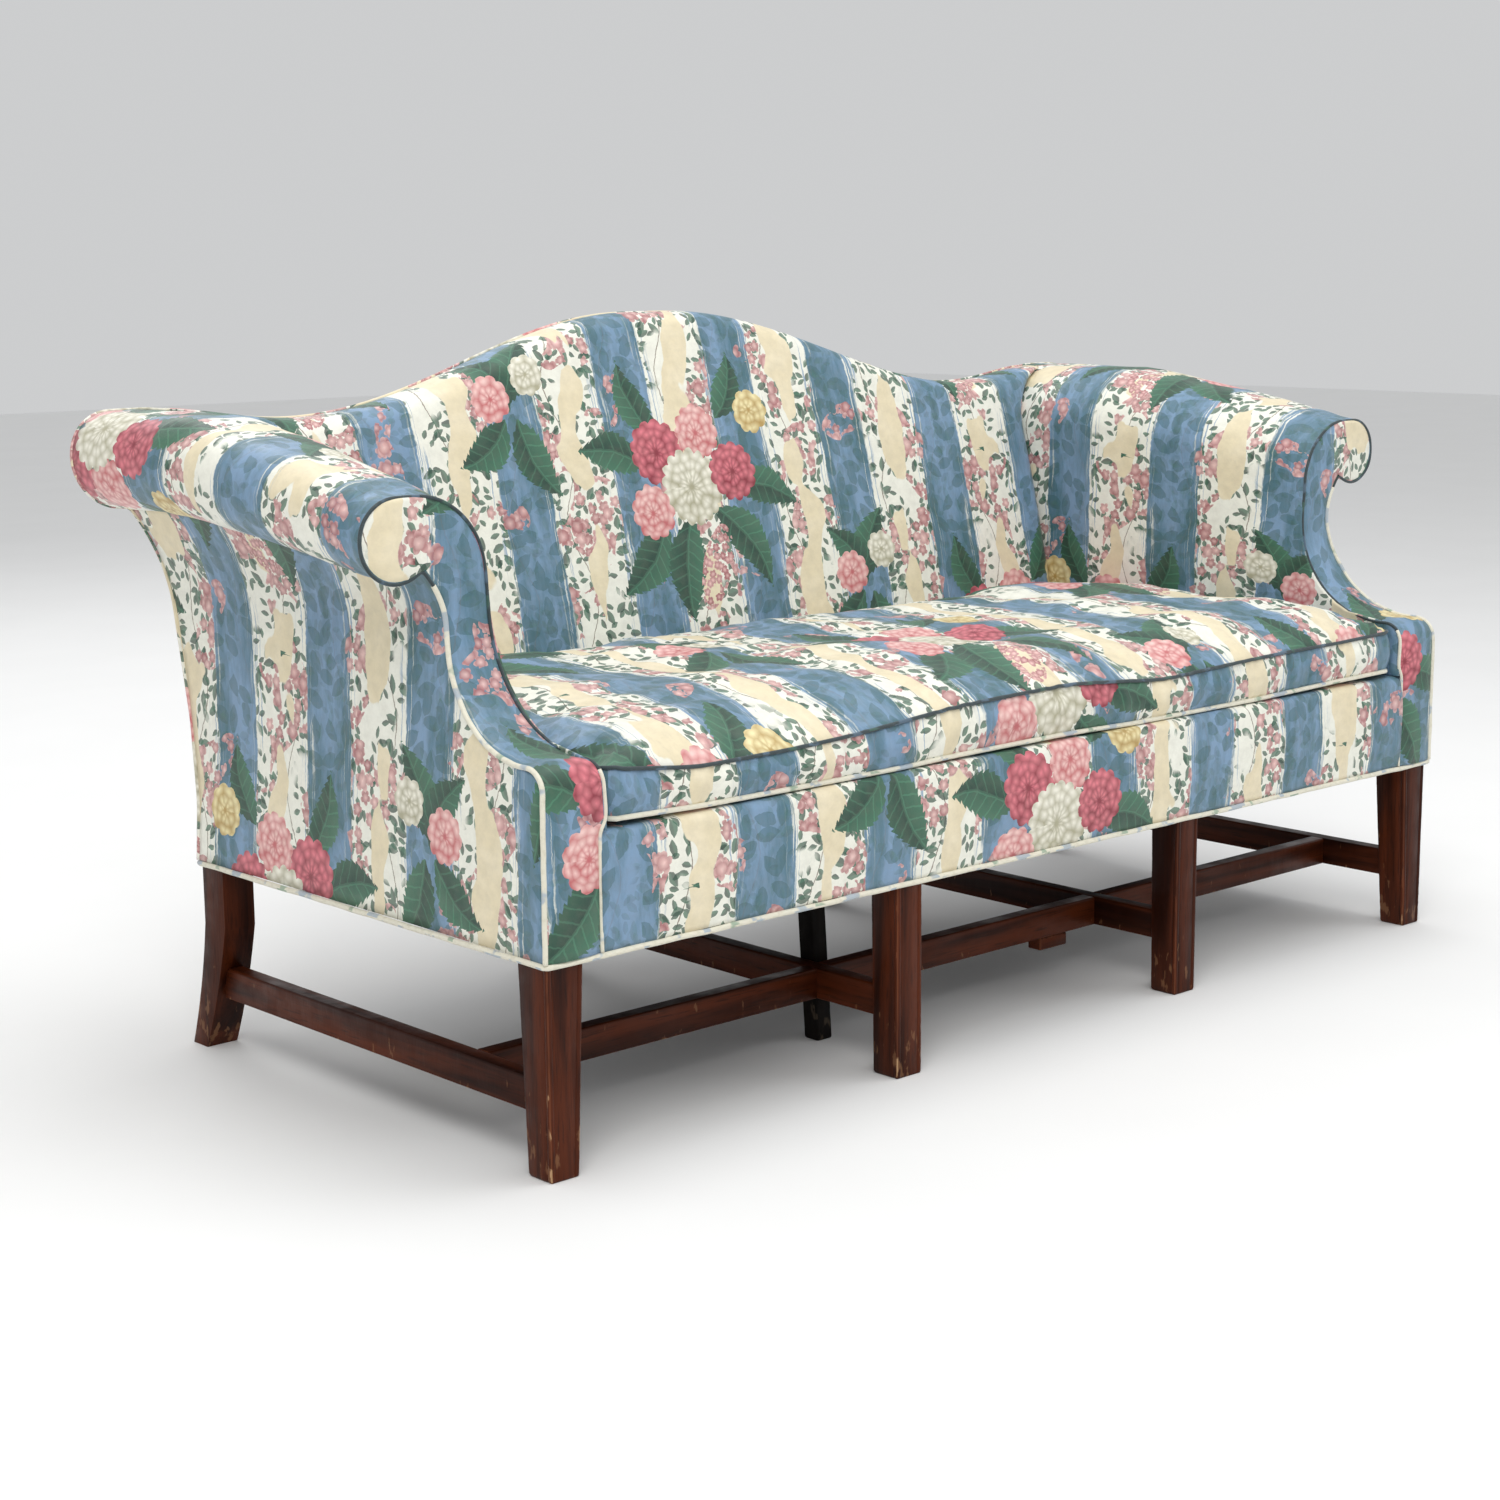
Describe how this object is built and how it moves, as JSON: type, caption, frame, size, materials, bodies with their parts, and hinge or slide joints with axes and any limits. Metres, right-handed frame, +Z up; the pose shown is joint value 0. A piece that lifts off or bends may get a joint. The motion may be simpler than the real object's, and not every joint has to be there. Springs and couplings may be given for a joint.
{
  "type": "camelback sofa",
  "caption": "Camelback sofa in striped floral chintz, with swept scroll arms, a loose seat cushion, square legs and stretchers.",
  "frame": {"origin": "on the floor, under the middle of the sofa's overall width and depth", "axes": "+X along the sofa to its right end as drawn from the front, +Y from front to back, +Z up"},
  "size_m": [1.9136, 0.8362, 0.934],
  "materials": {
    "striped_chintz": "satin",
    "welt_cloth": "satin",
    "mahogany_stain": "satin",
    "dark_rough_wood": "matte",
    "frame_wood": "matte",
    "spring_steel": "satin",
    "webbing": "matte",
    "burlap": "matte",
    "dust_cloth": "matte",
    "deck_cloth": "matte",
    "cushion_filling": "matte"
  },
  "bodies": {
    "frame": {"arm_front_panel_left": "striped_chintz", "arm_front_panel_right": "striped_chintz", "arm_front_post_left": "frame_wood", "arm_front_post_right": "frame_wood", "arm_pad_left": "striped_chintz", "arm_pad_right": "striped_chintz", "arm_rear_cap_left": "striped_chintz", "arm_rear_cap_right": "striped_chintz", "arm_tack_rails": "frame_wood", "arm_top_rail_left": "frame_wood", "arm_top_rail_right": "frame_wood", "back_burlap": "burlap", "back_tack_rails": "frame_wood", "back_top_edge_roll": "striped_chintz", "back_uprights": "frame_wood", "base_welt": "welt_cloth", "camel_top_rail": "frame_wood", "corner_blocks": "frame_wood", "deck_pad": "deck_cloth", "dust_cover": "dust_cloth", "front_border": "striped_chintz", "front_leg_inner_left": "mahogany_stain", "front_leg_inner_right": "mahogany_stain", "front_leg_left": "mahogany_stain", "front_leg_right": "mahogany_stain", "front_rail": "frame_wood", "front_scroll_board_left": "frame_wood", "front_scroll_board_right": "frame_wood", "inside_back_pad": "striped_chintz", "middle_stretcher_left": "mahogany_stain", "middle_stretcher_middle": "mahogany_stain", "middle_stretcher_right": "mahogany_stain", "outside_arm_panel_left": "striped_chintz", "outside_arm_panel_right": "striped_chintz", "outside_back_panel": "striped_chintz", "rear_leg_inner_left": "mahogany_stain", "rear_leg_inner_right": "mahogany_stain", "rear_leg_left": "mahogany_stain", "rear_leg_right": "mahogany_stain", "rear_rail": "frame_wood", "rear_scroll_board_left": "frame_wood", "rear_scroll_board_right": "frame_wood", "seat_cross_rails": "frame_wood", "seat_springs": "spring_steel", "seat_webbing": "webbing", "side_rail_left": "frame_wood", "side_rail_right": "frame_wood", "side_stretcher_inner_left": "mahogany_stain", "side_stretcher_inner_right": "mahogany_stain", "side_stretcher_left": "mahogany_stain", "side_stretcher_right": "mahogany_stain", "spring_burlap": "burlap", "stretcher_block": "mahogany_stain", "support_leg": "dark_rough_wood"},
    "seat_cushion": {"cushion_boxing": "striped_chintz", "cushion_core": "cushion_filling", "cushion_cover_bottom": "striped_chintz", "cushion_cover_top": "striped_chintz", "cushion_welts": "welt_cloth"}
  },
  "joints": [
    {"name": "cushion_lift", "type": "slide", "parent": "frame", "child": "seat_cushion", "axis": [0, 0, 1], "range_m": [0, 0.55]}
  ]
}
